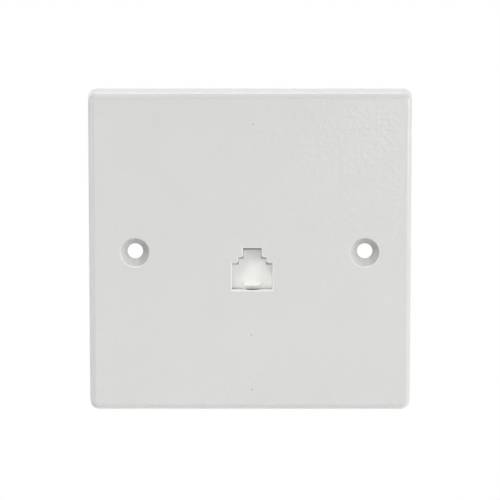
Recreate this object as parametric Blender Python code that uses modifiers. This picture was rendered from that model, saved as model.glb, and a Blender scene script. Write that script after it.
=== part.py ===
"""Telephone wall socket: a square moulded faceplate with a shuttered 6-position jack.

The frame: +X to the right, -Y out of the wall, +Y into the wall box, +Z up. Y is 0 in the wall plane,
and the origin is the middle of the plate's lower rim.
"""

import math

import bmesh
import bpy
from mathutils import Matrix, Vector

MM = 0.001

# Clearances
REST_GAP = 0.2 * MM
SLIDE_GAP = 0.15 * MM
WIRE_GAP = 0.15 * MM

# Faceplate
PLATE_SIDE = 85.0 * MM
PLATE_DEPTH = 6.5 * MM
SIDE_DRAFT = 0.35 * MM
CORNER_RADIUS = 2.4 * MM
EDGE_ROUND = 1.5 * MM
SKIN = 2.2 * MM
RIM_WALL = 1.8 * MM
MOUTH_ROUND = 0.3 * MM
RIB_THICK = 1.2 * MM
RIB_HEIGHT = 1.8 * MM
RIB_SPACING = 44.0 * MM

# Fixing holes
FIXING_SPAN = 60.3 * MM
FIXING_BORE = 4.1 * MM
FIXING_HEAD = 7.5 * MM
FIXING_SINK = 0.8 * MM
FIXING_LAND = 3.2 * MM
FIXING_PAD = 11.0 * MM

# Jack opening, with heights from the line of the fixing holes
JACK_X = 0.6 * MM
OPENING_FLOOR = -10.03 * MM
OPENING_WIDTH = 10.6 * MM
OPENING_TOP = -2.88 * MM
STEP_WIDTH = 7.4 * MM
STEP_TOP = -1.33 * MM
NOTCH_WIDTH = 4.85 * MM
NOTCH_TOP = 1.09 * MM
STEP_ROUND = 0.72 * MM
NAIL_SCOOP_WIDTH = 5.2 * MM
NAIL_SCOOP_REACH = 1.8 * MM
NAIL_SCOOP_DROP = 1.0 * MM

# Shutter
SHUTTER_THICK = 1.2 * MM
SHUTTER_LAP = 1.1 * MM
SHUTTER_FOOT = 0.3 * MM
SHUTTER_TRAVEL = 9.3 * MM
SCOOP_WIDTH = 5.4 * MM
SCOOP_RISE = 0.24 * MM
TRAVEL_SPARE = 0.1 * MM
TAB_RAMP = 0.3 * MM
TAB_NOSE = 0.25 * MM
TAB_FOOT = -9.05 * MM
TAB_REACH = 1.2 * MM
TAB_WIDTH = 4.1 * MM
TAB_FOOT_WIDTH = 3.4 * MM
PAD_RAISE = 0.15 * MM
LEDGE_HEIGHT = 1.2 * MM
PEG_WIDTH = 1.3 * MM
PEG_HEIGHT = 1.5 * MM

# Spring
SPRING_LENGTH = 15.0 * MM
SPRING_WIDTH = 2.6 * MM
SPRING_WIRE = 0.36 * MM
SPRING_TURNS = 10
SPRING_END_PITCH = 1.25 * SPRING_WIRE

# Shutter rails and cover
RAIL_WIDTH = 1.2 * MM
COVER_THICK = 1.0 * MM
CHANNEL_GAP = 0.3 * MM
CHANNEL_WALL = 0.9 * MM
CHANNEL_LEAD = 0.5 * MM
COVER_EAR = 2.2 * MM
COVER_SCREW_OUT = 2.4 * MM
COVER_SCREW_HEIGHT = 9.0 * MM

# Jack body
JACK_WIDTH = 13.2 * MM
JACK_DEPTH = 12.6 * MM
JACK_BACK_WALL = 1.3 * MM
JACK_TOP_WALL = 1.2 * MM
JACK_FLANGE = 1.1 * MM
CAVITY_SHRINK = 0.25 * MM
LATCH_WIDTH = 6.6 * MM
LATCH_SHOULDER = 2.0 * MM
JACK_PEG = 2.2 * MM
JACK_PEG_SPACING = 10.2 * MM
JACK_PEG_DROP = 4.0 * MM

# Contacts and their comb
CONTACTS = 6
CONTACT_PITCH = 1.02 * MM
CONTACT_WIRE = 0.46 * MM
CONTACT_BEND = 0.5 * MM
CONTACT_UPPER_ROW = 2.3 * MM
CONTACT_ROW_STEP = 1.3 * MM
CONTACT_ROOT = 1.1 * MM
CONTACT_TIP = 3.3 * MM
CONTACT_TAIL = 1.1 * MM
COMB_SIDE = 0.5 * MM
COMB_FRONT = 3.0 * MM
COMB_UPRIGHT = 1.9 * MM
COMB_HEIGHT = 4.3 * MM
COMB_BACK_WALL = 0.6 * MM
COMB_FLOOR_DROP = 0.1 * MM
COMB_GROOVE = 1.5 * MM
COMB_KEEL = 0.6 * MM
JACK_FOOT = 0.2 * MM

# Circuit board
BOARD_WIDTH = 42.0 * MM
BOARD_FOOT = -16.5 * MM
BOARD_TOP = 17.0 * MM
BOARD_THICK = 1.6 * MM
BOARD_CORNER = 1.5 * MM
BOARD_SCREW_EDGE = 4.0 * MM
BOARD_SCREW_HEIGHT = -3.5 * MM
POST_WIDTH = 6.0 * MM

# Screws
SHANK = 1.9 * MM
PILOT = 2.2 * MM
SCREW_HOLE = 2.6 * MM
SCREW_HEAD = 3.9 * MM
SCREW_HEAD_HEIGHT = 1.5 * MM
SCREW_HEAD_SIDE = 0.7 * MM
SCREW_TIP = 0.6 * MM
SCREW_RECESS = 0.8 * MM
RECESS_SPAN = 2.2 * MM
RECESS_SLOT = 0.6 * MM
BOARD_SCREW_LENGTH = 7.0 * MM
COVER_SCREW_LENGTH = 3.7 * MM
PILOT_SPARE = 0.4 * MM

# Insulation-displacement terminals
BLADES = 6
BLADE_PITCH = 4.2 * MM
BLADE_THICK = 0.5 * MM
BLADE_WIDTH = 3.0 * MM
BLADE_SLIT = 0.36 * MM
BLADE_SLIT_DEPTH = 4.6 * MM
BLADE_MOUTH = 0.9 * MM
BLADE_TAIL_WIDTH = 0.9 * MM
BLADE_TAIL = 1.0 * MM
BLADE_SUNK = 1.3 * MM
BLOCK_HEIGHT = 8.0 * MM
BLOCK_DEPTH = 8.5 * MM
BLOCK_CENTRE = 9.8 * MM
BLOCK_END = 1.2 * MM
BLOCK_FLOOR = 1.2 * MM
WIRE_SLOT = 1.4 * MM
WIRE_SLOT_DEPTH = 6.0 * MM
WIRE_MOUTH = 2.5 * MM
WIRE_MOUTH_DEPTH = 0.9 * MM
BLOCK_PEG = 1.8 * MM
BLOCK_PEG_REACH = 2.4 * MM

# Levels that follow from the sizes above
CENTRE_Z = (PLATE_SIDE - RIM_WALL) / 2
FACE_Y = -PLATE_DEPTH
SKIN_BACK = FACE_Y + SKIN
SHUTTER_FRONT = SKIN_BACK + SLIDE_GAP
SHUTTER_BACK = SHUTTER_FRONT + SHUTTER_THICK
RAIL_BACK = SHUTTER_BACK + SLIDE_GAP
JACK_FRONT = RAIL_BACK + REST_GAP
JACK_BACK = JACK_FRONT + JACK_DEPTH
CAVITY_BACK = JACK_BACK - JACK_BACK_WALL
BOARD_FRONT = JACK_BACK + REST_GAP
BOARD_BACK = BOARD_FRONT + BOARD_THICK
BLOCK_FRONT = BOARD_BACK + REST_GAP
BLOCK_BACK = BLOCK_FRONT + BLOCK_DEPTH
SHUTTER_HALF = OPENING_WIDTH / 2 + SHUTTER_LAP
SHUTTER_BOTTOM = OPENING_FLOOR - SHUTTER_FOOT
RAIL_INNER = SHUTTER_HALF + SLIDE_GAP
RAIL_OUTER = RAIL_INNER + RAIL_WIDTH
JACK_TOP = NOTCH_TOP + JACK_TOP_WALL
LEDGE_BOTTOM = JACK_TOP + 1.5 * REST_GAP
SHUTTER_TOP = LEDGE_BOTTOM + LEDGE_HEIGHT
SPRING_BOTTOM = SHUTTER_TOP + REST_GAP
SPRING_TOP = SPRING_BOTTOM + SPRING_LENGTH
CHANNEL_TOP = SPRING_TOP + REST_GAP
COVER_FRONT = RAIL_BACK + REST_GAP
SPRING_Y = SHUTTER_BACK - SLIDE_GAP + SPRING_WIDTH / 2
LEDGE_BACK = SPRING_Y + SPRING_WIDTH / 2
CHANNEL_HALF = SPRING_WIDTH / 2 + CHANNEL_GAP
CHANNEL_BACK = LEDGE_BACK + CHANNEL_GAP
COVER_BOTTOM = LEDGE_BOTTOM
COVER_TOP = CHANNEL_TOP + CHANNEL_WALL
COVER_SCREW_X = RAIL_OUTER + COVER_SCREW_OUT
COVER_SCREW_Z = COVER_BOTTOM + COVER_SCREW_HEIGHT
CAVITY_FLOOR = OPENING_FLOOR + CAVITY_SHRINK
COMB_TOP = CAVITY_FLOOR - COMB_FLOOR_DROP
COMB_HALF = (CONTACTS - 1) * CONTACT_PITCH / 2 + CONTACT_WIRE / 2 + WIRE_GAP + COMB_SIDE
COMB_START = JACK_FRONT + COMB_FRONT
WIRE_FRONT = COMB_START - WIRE_GAP - CONTACT_WIRE
UPPER_ROW = COMB_TOP - CONTACT_UPPER_ROW
LOWER_ROW = UPPER_ROW - CONTACT_ROW_STEP
COMB_BOTTOM = LOWER_ROW - CONTACT_WIRE / 2 - COMB_KEEL
JACK_BOTTOM = COMB_BOTTOM - JACK_FOOT
COMB_BACK = JACK_BACK - REST_GAP
COMB_SLOT_BACK = COMB_BACK - COMB_BACK_WALL
POST_END = BOARD_FRONT - REST_GAP
BOARD_SCREW_OUT = BOARD_WIDTH / 2 - BOARD_SCREW_EDGE
TAB_TOP = NOTCH_TOP - SHUTTER_TRAVEL - TRAVEL_SPARE
TAB_CREST = TAB_TOP - TAB_RAMP

# Steps of the round shapes
ROUND_STEPS = 4
CIRCLE_STEPS = 32
SMALL_STEPS = 12
SPRING_STEPS = 16
CORNER_STEPS = 6
EDGE_STEPS = 5
BEND_STEPS = 5

OVERSHOOT = 1.0 * MM


def clear_scene():
    for item in list(bpy.data.objects):
        bpy.data.objects.remove(item, do_unlink=True)


def new_collection(name):
    group = bpy.data.collections.new(name)
    bpy.context.scene.collection.children.link(group)
    return group


def plastic(name, colour, roughness, metallic=0.0):
    material = bpy.data.materials.new(name)
    material.use_nodes = True
    shader = material.node_tree.nodes["Principled BSDF"]
    shader.inputs["Base Color"].default_value = (*colour, 1.0)
    shader.inputs["Roughness"].default_value = roughness
    shader.inputs["Metallic"].default_value = metallic
    return material


def place(name, mesh, group, material=None):
    item = bpy.data.objects.new(name, mesh)
    group.objects.link(item)
    if material:
        mesh.materials.append(material)
    return item


def as_tool(item):
    item.hide_render = True
    item.display_type = "WIRE"
    return item


def smooth(item, angle=35):
    item.data.shade_smooth()
    item.data.set_sharp_from_angle(angle=math.radians(angle))


def finish(shape, name):
    bmesh.ops.recalc_face_normals(shape, faces=shape.faces[:])
    mesh = bpy.data.meshes.new(name)
    shape.to_mesh(mesh)
    shape.free()
    return mesh


def box(name, x_span, y_span, z_span, group, material=None):
    """A box between the two ends given for each axis; heights are from the line of the fixing holes."""
    shape = bmesh.new()
    bmesh.ops.create_cube(shape, size=1.0)
    spans = (x_span, y_span, z_span)
    size = [high - low for low, high in spans]
    middle = [(high + low) / 2 for low, high in spans]
    bmesh.ops.scale(shape, vec=size, verts=shape.verts)
    bmesh.ops.translate(shape, vec=(middle[0], middle[1], middle[2] + CENTRE_Z), verts=shape.verts)
    return place(name, finish(shape, name), group, material)


def rod(name, x, z, radius, y_span, group, steps=CIRCLE_STEPS):
    """A cylinder along Y, or a cone where radius is a pair: its front and its back one."""
    front, back = radius if isinstance(radius, tuple) else (radius, radius)
    shape = bmesh.new()
    bmesh.ops.create_cone(
        shape,
        cap_ends=True,
        segments=steps,
        radius1=back,
        radius2=front,
        depth=y_span[1] - y_span[0],
        matrix=Matrix.Translation((x, sum(y_span) / 2, z + CENTRE_Z)) @ Matrix.Rotation(math.pi / 2, 4, "X"),
    )
    return place(name, finish(shape, name), group)


def arc(centre, radius, start, end, steps):
    """Points of an arc; the angles are in degrees from +X towards the second axis."""
    angles = [math.radians(start + (end - start) * i / steps) for i in range(steps + 1)]
    return [(centre[0] + radius * math.cos(a), centre[1] + radius * math.sin(a)) for a in angles]


def circle(centre, radius, steps):
    return arc(centre, radius, 0, 360, steps)[:-1]


def rounded_rectangle(low, high, radius, steps=ROUND_STEPS):
    corners = ((high[0], high[1], 0), (low[0], high[1], 90), (low[0], low[1], 180), (high[0], low[1], 270))
    points = []
    for x, z, turn in corners:
        centre = (x - math.copysign(radius, x - (low[0] + high[0]) / 2),
                  z - math.copysign(radius, z - (low[1] + high[1]) / 2))
        points += arc(centre, radius, turn, turn + 90, steps)
    return points


def grown(points, distance):
    """The outline moved outwards by a distance, with its corners mitred. It runs anticlockwise."""
    moved = []
    for i, point in enumerate(points):
        here = Vector(point)
        before = (here - Vector(points[i - 1])).normalized()
        after = (Vector(points[(i + 1) % len(points)]) - here).normalized()
        out_before = Vector((before.y, -before.x))
        out_after = Vector((after.y, -after.x))
        mitre = (out_before + out_after) / (1 + out_before.dot(out_after))
        moved.append(tuple(here + mitre * distance))
    return moved


def loft(name, sections, group, material=None):
    """A solid through sections, each (y, outline) with the outline in X and Z, from front to back."""
    shape = bmesh.new()
    rings = [
        [shape.verts.new((x, y, z + CENTRE_Z)) for x, z in outline]
        for y, outline in sections
    ]
    for front, back in zip(rings, rings[1:]):
        for i in range(len(front)):
            k = (i + 1) % len(front)
            shape.faces.new((front[i], front[k], back[k], back[i]))
    shape.faces.new(rings[0])
    shape.faces.new(rings[-1])
    return place(name, finish(shape, name), group, material)


def prism(name, outline, y_span, group, material=None):
    return loft(name, [(y_span[0], outline), (y_span[1], outline)], group, material)


def mouth(name, outline, face_y, back_y, radius, group):
    """A cutter through a wall, whose mouth in the face is rounded outwards."""
    sections = []
    steps = [math.radians(90 * i / ROUND_STEPS) for i in range(ROUND_STEPS + 1)]
    sides = [(radius * (1 - math.sin(a)), face_y + radius * (1 - math.cos(a))) for a in steps]
    lead_out = (2 * sides[0][0] - sides[1][0], 2 * sides[0][1] - sides[1][1])
    sections.append((face_y - OVERSHOOT, grown(outline, lead_out[0])))
    sections.append((lead_out[1], grown(outline, lead_out[0])))
    sections += [(y, grown(outline, out)) for out, y in sides[1:]]
    sections.append((back_y, outline))
    return loft(name, sections, group)


def cut(item, *tools):
    for tool in tools:
        modifier = item.modifiers.new("cut", "BOOLEAN")
        modifier.operation = "DIFFERENCE"
        modifier.object = as_tool(tool)


def join(item, *tools):
    for tool in tools:
        modifier = item.modifiers.new("join", "BOOLEAN")
        modifier.operation = "UNION"
        modifier.object = as_tool(tool)


def arc_radius(chord, rise):
    return (chord ** 2 / 4 + rise ** 2) / (2 * rise)


def opening_outline(shrink=0.0):
    """The stepped outline of a 6-position jack with its latch up, anticlockwise from its lower left."""
    half = OPENING_WIDTH / 2
    step, notch, turn = STEP_WIDTH / 2, NOTCH_WIDTH / 2, STEP_ROUND
    right = [(half, OPENING_FLOOR), (half, OPENING_TOP)]
    right += arc((step + turn, OPENING_TOP + turn), turn, 270, 180, ROUND_STEPS)
    right += [(step, STEP_TOP)]
    right += arc((notch + turn, STEP_TOP + turn), turn, 270, 180, ROUND_STEPS)
    right += [(notch, NOTCH_TOP)]
    left = [(-x, z) for x, z in reversed(right)]
    outline = [(x + JACK_X, z) for x, z in right + left]
    return grown(outline, -shrink) if shrink else outline


def fixing_hole(x, tools):
    """A countersink for a fixing screw: rounded mouth, short straight stretch, 45-degree cone and bore."""
    head, bore = FIXING_HEAD / 2, FIXING_BORE / 2
    steps = [math.radians(90 * i / ROUND_STEPS) for i in range(ROUND_STEPS + 1)]
    lip = [(head + MOUTH_ROUND * (1 - math.sin(a)), MOUTH_ROUND * (1 - math.cos(a))) for a in steps]
    lead_out = (2 * lip[0][0] - lip[1][0], 2 * lip[0][1] - lip[1][1])
    profile = [(0, -OVERSHOOT), (lead_out[0], -OVERSHOOT), lead_out] + lip[1:]
    profile += [(head, FIXING_SINK), (bore, FIXING_SINK + head - bore)]
    profile += [(bore, FIXING_LAND + OVERSHOOT), (0, FIXING_LAND + OVERSHOOT)]
    return turned("fixing_hole_cutter", profile, x, FACE_Y, 0, tools)


def turned(name, profile, x, y, z, group, material=None, steps=CIRCLE_STEPS):
    """A solid of revolution about Y: the profile gives radii and depths behind y, front to back."""
    mesh = bpy.data.meshes.new(name)
    points = [(radius, 0, -depth) for radius, depth in profile]
    mesh.from_pydata(points, [(i, i + 1) for i in range(len(points) - 1)], [])
    item = place(name, mesh, group, material)
    screw = item.modifiers.new("turn", "SCREW")
    screw.steps = screw.render_steps = steps
    screw.use_merge_vertices = True
    screw.merge_threshold = 0.00001
    item.rotation_euler = (math.pi / 2, 0, 0)
    item.location = (x, y, z + CENTRE_Z)
    return item


def drafted_square(name, front_y, back_y, front_side, back_side, corner, edge, group, material=None):
    """A square frustum with rounded uprights and, if edge isn't 0, a rounded front edge."""
    shape = bmesh.new()
    bmesh.ops.create_cone(
        shape,
        cap_ends=True,
        segments=4,
        radius1=back_side / math.sqrt(2),
        radius2=front_side / math.sqrt(2),
        depth=back_y - front_y,
        matrix=Matrix.Translation((0, (front_y + back_y) / 2, CENTRE_Z))
        @ Matrix.Rotation(math.pi / 2, 4, "X")
        @ Matrix.Rotation(math.pi / 4, 4, "Z"),
    )
    uprights = [e for e in shape.edges if abs(e.verts[0].co.y - e.verts[1].co.y) > OVERSHOOT]
    bmesh.ops.bevel(
        shape, geom=uprights, offset=corner, segments=CORNER_STEPS, profile=0.5, affect="EDGES",
        offset_type="OFFSET",
    )
    if edge:
        fronts = [e for e in shape.edges if all(abs(v.co.y - front_y) < 0.01 * MM for v in e.verts)]
        bmesh.ops.bevel(
            shape, geom=fronts, offset=edge, segments=EDGE_STEPS, profile=0.5, affect="EDGES",
            offset_type="OFFSET",
        )
    return place(name, finish(shape, name), group, material)


def front_plate(parts, tools, material):
    plate = drafted_square(
        "front_plate", FACE_Y, 0, PLATE_SIDE - 2 * SIDE_DRAFT, PLATE_SIDE, CORNER_RADIUS, EDGE_ROUND,
        parts, material,
    )
    inner = PLATE_SIDE - 2 * RIM_WALL
    slope = SIDE_DRAFT / PLATE_DEPTH
    hollow = drafted_square(
        "plate_hollow", SKIN_BACK, OVERSHOOT, inner + 2 * slope * (SKIN_BACK), inner + 2 * slope * OVERSHOOT,
        CORNER_RADIUS, 0, tools,
    )
    cut(plate, hollow)
    for side in (-1, 1):
        x = side * FIXING_SPAN / 2
        pad = rod("fixing_pad", x, 0, FIXING_PAD / 2, (SKIN_BACK - SKIN / 2, FACE_Y + FIXING_LAND), tools)
        join(plate, pad)
        rib_x = side * RIB_SPACING / 2
        rib = box(
            "plate_rib", (rib_x - RIB_THICK / 2, rib_x + RIB_THICK / 2),
            (SKIN_BACK - SKIN / 2, SKIN_BACK + RIB_HEIGHT),
            (-PLATE_SIDE / 2 + RIM_WALL / 2, PLATE_SIDE / 2 - RIM_WALL / 2), tools,
        )
        join(plate, rib)
        rail_x = sorted((JACK_X + side * RAIL_INNER, JACK_X + side * RAIL_OUTER))
        rail_foot = SHUTTER_BOTTOM - REST_GAP - RAIL_WIDTH
        rail = box("shutter_rail", rail_x, (SKIN_BACK - SKIN / 2, RAIL_BACK), (rail_foot, COVER_TOP), tools)
        join(plate, rail)
        screw_x = JACK_X + side * COVER_SCREW_X
        boss_x = sorted((JACK_X + side * (RAIL_OUTER - RAIL_WIDTH / 2), screw_x))
        join(
            plate,
            rod("cover_boss", screw_x, COVER_SCREW_Z, COVER_EAR, (SKIN_BACK - SKIN / 2, RAIL_BACK), tools),
            box("cover_boss_web", boss_x, (SKIN_BACK - SKIN / 2, RAIL_BACK),
                (COVER_SCREW_Z - COVER_EAR / 2, COVER_SCREW_Z + COVER_EAR / 2), tools),
        )
        post_x = JACK_X + side * BOARD_SCREW_OUT
        join(
            plate,
            rod("board_post", post_x, BOARD_SCREW_HEIGHT, POST_WIDTH / 2, (SKIN_BACK - SKIN / 2, POST_END),
                tools),
        )
        pilot_end = BOARD_BACK - BOARD_SCREW_LENGTH - PILOT_SPARE
        cover_pilot_end = COVER_FRONT + COVER_THICK - COVER_SCREW_LENGTH - PILOT_SPARE
        cut(
            plate,
            rod("board_pilot", post_x, BOARD_SCREW_HEIGHT, PILOT / 2, (pilot_end, POST_END + OVERSHOOT),
                tools, SMALL_STEPS),
            rod("cover_pilot", screw_x, COVER_SCREW_Z, PILOT / 2, (cover_pilot_end, RAIL_BACK + OVERSHOOT),
                tools, SMALL_STEPS),
        )
    cut(
        plate,
        mouth("opening_cutter", opening_outline(), FACE_Y, SKIN_BACK + OVERSHOOT / 2, MOUTH_ROUND, tools),
        nail_scoop(tools),
        fixing_hole(-FIXING_SPAN / 2, tools),
        fixing_hole(FIXING_SPAN / 2, tools),
    )
    stop_top = SHUTTER_BOTTOM - REST_GAP
    stop = box(
        "shutter_stop", (JACK_X - RAIL_OUTER, JACK_X + RAIL_OUTER), (SKIN_BACK - SKIN / 4, RAIL_BACK),
        (stop_top - RAIL_WIDTH, stop_top), tools,
    )
    join(plate, stop)
    smooth(plate, 30)
    return plate


def nail_scoop(tools):
    """A round bite out of the rear edge of the opening's floor, where a nail gets under the shutter."""
    radius = arc_radius(NAIL_SCOOP_WIDTH, NAIL_SCOOP_REACH)
    low, high = OPENING_FLOOR - NAIL_SCOOP_DROP, OPENING_FLOOR + OVERSHOOT / 2
    middle = SKIN_BACK - NAIL_SCOOP_REACH + radius
    return upright_rod("nail_scoop", middle, radius, low, high, tools, CIRCLE_STEPS)


def shutter(parts, tools, material):
    """The door: its origin is on its face at the tab's foot, on the line it slides along."""
    door = box(
        "shutter", (JACK_X - SHUTTER_HALF, JACK_X + SHUTTER_HALF), (SHUTTER_FRONT, SHUTTER_BACK),
        (SHUTTER_BOTTOM, SHUTTER_TOP), parts, material,
    )
    pad = box(
        "shutter_pad", (JACK_X - TAB_WIDTH / 2, JACK_X + TAB_WIDTH / 2),
        (SHUTTER_FRONT - PAD_RAISE, SHUTTER_FRONT + PAD_RAISE), (SHUTTER_BOTTOM, TAB_CREST), tools,
    )
    ledge = box(
        "shutter_ledge", (JACK_X - SPRING_WIDTH / 2, JACK_X + SPRING_WIDTH / 2),
        (SHUTTER_FRONT + SHUTTER_THICK / 2, LEDGE_BACK), (LEDGE_BOTTOM, SHUTTER_TOP), tools,
    )
    peg_low, peg_high = SHUTTER_TOP - LEDGE_HEIGHT / 2, SHUTTER_TOP + PEG_HEIGHT
    peg = upright_rod("shutter_peg", SPRING_Y, PEG_WIDTH / 2, peg_low, peg_high, tools)
    join(door, pad, finger_tab(tools), ledge, peg)
    radius = arc_radius(SCOOP_WIDTH, SCOOP_RISE)
    scoop = rod(
        "shutter_scoop", JACK_X, SHUTTER_BOTTOM + SCOOP_RISE - radius, radius,
        (SHUTTER_FRONT - OVERSHOOT, SHUTTER_BACK + OVERSHOOT), tools, 3 * CIRCLE_STEPS,
    )
    cut(door, scoop)
    origin = Vector((JACK_X, SHUTTER_FRONT, TAB_FOOT + CENTRE_Z))
    door.data.transform(Matrix.Translation(-origin))
    door.location = origin
    return door


def finger_tab(tools):
    """A wedge that ramps out of the door and drops square at its foot, narrower towards the foot."""
    root = SHUTTER_FRONT + SHUTTER_THICK / 2
    front = SHUTTER_FRONT - TAB_REACH
    profile = [(root, TAB_TOP), (SHUTTER_FRONT, TAB_TOP), (front + TAB_NOSE, TAB_CREST)]
    profile += [(front, TAB_CREST - TAB_NOSE), (front, TAB_FOOT), (root, TAB_FOOT)]
    shape = bmesh.new()
    sides = []
    for side in (-1, 1):
        ring = []
        for y, z in profile:
            share = min(max((TAB_CREST - z) / (TAB_CREST - TAB_FOOT), 0), 1)
            half = (TAB_WIDTH + (TAB_FOOT_WIDTH - TAB_WIDTH) * share) / 2
            ring.append(shape.verts.new((JACK_X + side * half, y, z + CENTRE_Z)))
        sides.append(ring)
    left, right = sides
    for i in range(len(profile)):
        k = (i + 1) % len(profile)
        shape.faces.new((left[i], left[k], right[k], right[i]))
    shape.faces.new(left)
    shape.faces.new(right)
    return place("finger_tab", finish(shape, "finger_tab"), tools)


def upright_rod(name, y, radius, low, high, tools, steps=SMALL_STEPS):
    """A cylinder along Z above or below the middle of the jack."""
    shape = bmesh.new()
    bmesh.ops.create_cone(
        shape,
        cap_ends=True,
        segments=steps,
        radius1=radius,
        radius2=radius,
        depth=high - low,
        matrix=Matrix.Translation((JACK_X, y, (low + high) / 2 + CENTRE_Z)),
    )
    return place(name, finish(shape, name), tools)


def wire(name, points, thickness, group, material, sides=2):
    curve = bpy.data.curves.new(name, "CURVE")
    curve.dimensions = "3D"
    curve.bevel_depth = thickness / 2
    curve.bevel_resolution = sides
    curve.use_fill_caps = True
    line = curve.splines.new("POLY")
    line.points.add(len(points) - 1)
    for node, point in zip(line.points, points):
        node.co = (*point, 1)
    curve.materials.append(material)
    item = bpy.data.objects.new(name, curve)
    group.objects.link(item)
    return item


def shutter_spring(parts, material):
    """A compression spring whose first and last turns lie flat."""
    radius = (SPRING_WIDTH - SPRING_WIRE) / 2
    count = SPRING_TURNS * SPRING_STEPS
    low, high = SPRING_BOTTOM + SPRING_WIRE / 2, SPRING_TOP - SPRING_WIRE / 2
    closed = SPRING_END_PITCH
    points = []
    for i in range(count + 1):
        turns = i / SPRING_STEPS
        angle = 2 * math.pi * turns
        open_turns = SPRING_TURNS - 2
        middle = (turns - 1) / open_turns
        if turns < 1:
            z = low + closed * turns
        elif turns > SPRING_TURNS - 1:
            z = high - closed * (SPRING_TURNS - turns)
        else:
            z = low + closed + (high - low - 2 * closed) * middle
        points.append((JACK_X + radius * math.cos(angle), SPRING_Y + radius * math.sin(angle), z + CENTRE_Z))
    return wire("shutter_spring", points, SPRING_WIRE, parts, material, 1)


def cover_outline():
    """The sheet's outline, anticlockwise from its lower left, with a round ear for each screw."""
    low, high = COVER_BOTTOM + CHANNEL_LEAD, COVER_TOP - CHANNEL_LEAD
    ear = arc((COVER_SCREW_X, COVER_SCREW_Z), COVER_EAR, -90, 90, 2 * ROUND_STEPS)
    right = [(RAIL_OUTER, low), (RAIL_OUTER, COVER_SCREW_Z - COVER_EAR)] + ear
    right += [(RAIL_OUTER, COVER_SCREW_Z + COVER_EAR), (RAIL_OUTER, high)]
    left = [(-x, z) for x, z in reversed(right)]
    return [(x + JACK_X, z) for x, z in right + left]


def shutter_cover(parts, tools, material):
    """A flat sheet over the rails with a channel for the spring, and an ear for each screw."""
    back = COVER_FRONT + COVER_THICK
    cover = prism("shutter_cover", cover_outline(), (COVER_FRONT, back), parts, material)
    outer = CHANNEL_HALF + CHANNEL_WALL
    join(
        cover,
        box("channel", (JACK_X - outer, JACK_X + outer),
            (COVER_FRONT + COVER_THICK / 2, CHANNEL_BACK + CHANNEL_WALL), (COVER_BOTTOM, COVER_TOP), tools),
    )
    cut(
        cover,
        box("channel_hollow", (JACK_X - CHANNEL_HALF, JACK_X + CHANNEL_HALF),
            (COVER_FRONT - OVERSHOOT, CHANNEL_BACK), (COVER_BOTTOM - OVERSHOOT, CHANNEL_TOP), tools),
    )
    peg_low, peg_high = CHANNEL_TOP - PEG_HEIGHT, COVER_TOP - CHANNEL_WALL / 3
    join(cover, upright_rod("cover_peg", SPRING_Y, PEG_WIDTH / 2, peg_low, peg_high, tools))
    for side in (-1, 1):
        x = JACK_X + side * COVER_SCREW_X
        cut(
            cover,
            rod("cover_screw_hole", x, COVER_SCREW_Z, SCREW_HOLE / 2,
                (COVER_FRONT - OVERSHOOT, back + OVERSHOOT), tools, 2 * SMALL_STEPS),
        )
    smooth(cover)
    return cover


def screw(name, x, z, seat_y, length, parts, tools, material):
    """A pan-head screw driven from behind: its head lies on seat_y and its shank runs towards the face."""
    head, shank = SCREW_HEAD / 2, SHANK / 2
    crown = [
        (head * math.cos(a), SCREW_HEAD_SIDE + (SCREW_HEAD_HEIGHT - SCREW_HEAD_SIDE) * math.sin(a))
        for a in (math.radians(90 * i / ROUND_STEPS) for i in range(ROUND_STEPS + 1))
    ]
    profile = [(0, -length), (SCREW_TIP / 2, -length), (shank, 2 * shank - length), (shank, 0), (head, 0)]
    profile += crown[:-1] + [(0, SCREW_HEAD_HEIGHT)]
    item = turned(name, profile, x, seat_y + REST_GAP, z, parts, material, 2 * SMALL_STEPS)
    top = seat_y + REST_GAP + SCREW_HEAD_HEIGHT
    for wide, tall in ((RECESS_SPAN, RECESS_SLOT), (RECESS_SLOT, RECESS_SPAN)):
        cut(
            item,
            box("screw_recess", (x - wide / 2, x + wide / 2), (top - SCREW_RECESS, top + OVERSHOOT),
                (z - tall / 2, z + tall / 2), tools),
        )
    smooth(item)
    return item


def jack_body(parts, tools, material):
    body = box(
        "jack_body", (JACK_X - JACK_WIDTH / 2, JACK_X + JACK_WIDTH / 2), (JACK_FRONT, JACK_BACK),
        (JACK_BOTTOM, JACK_TOP), parts, material,
    )
    flange = box(
        "jack_flange", (JACK_X - RAIL_OUTER, JACK_X + RAIL_OUTER), (JACK_FRONT, JACK_FRONT + JACK_FLANGE),
        (JACK_BOTTOM, JACK_TOP), tools,
    )
    join(body, flange)
    for side in (-1, 1):
        peg_x = JACK_X + side * JACK_PEG_SPACING / 2
        peg_end = BOARD_BACK + OVERSHOOT
        join(
            body,
            rod("jack_peg", peg_x, -JACK_PEG_DROP, JACK_PEG / 2, (CAVITY_BACK + JACK_BACK_WALL / 2, peg_end),
                tools, 2 * SMALL_STEPS),
        )
    comb_slot = COMB_HALF + SLIDE_GAP
    cut(
        body,
        prism("cavity", opening_outline(CAVITY_SHRINK), (JACK_FRONT - OVERSHOOT, CAVITY_BACK), tools),
        box("latch_room", (JACK_X - LATCH_WIDTH / 2, JACK_X + LATCH_WIDTH / 2),
            (JACK_FRONT + LATCH_SHOULDER, CAVITY_BACK),
            (OPENING_TOP - STEP_ROUND, NOTCH_TOP - CAVITY_SHRINK), tools),
        box("comb_slot", (JACK_X - comb_slot, JACK_X + comb_slot),
            (WIRE_FRONT - CONTACT_WIRE - WIRE_GAP, JACK_BACK + OVERSHOOT),
            (JACK_BOTTOM - OVERSHOOT, CAVITY_FLOOR + CONTACT_WIRE), tools),
        box("comb_window", (JACK_X - comb_slot, JACK_X + comb_slot),
            (COMB_BACK - COMB_UPRIGHT - SLIDE_GAP, JACK_BACK + OVERSHOOT),
            (COMB_TOP, COMB_TOP + COMB_HEIGHT + SLIDE_GAP), tools),
    )
    smooth(body)
    return body


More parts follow.
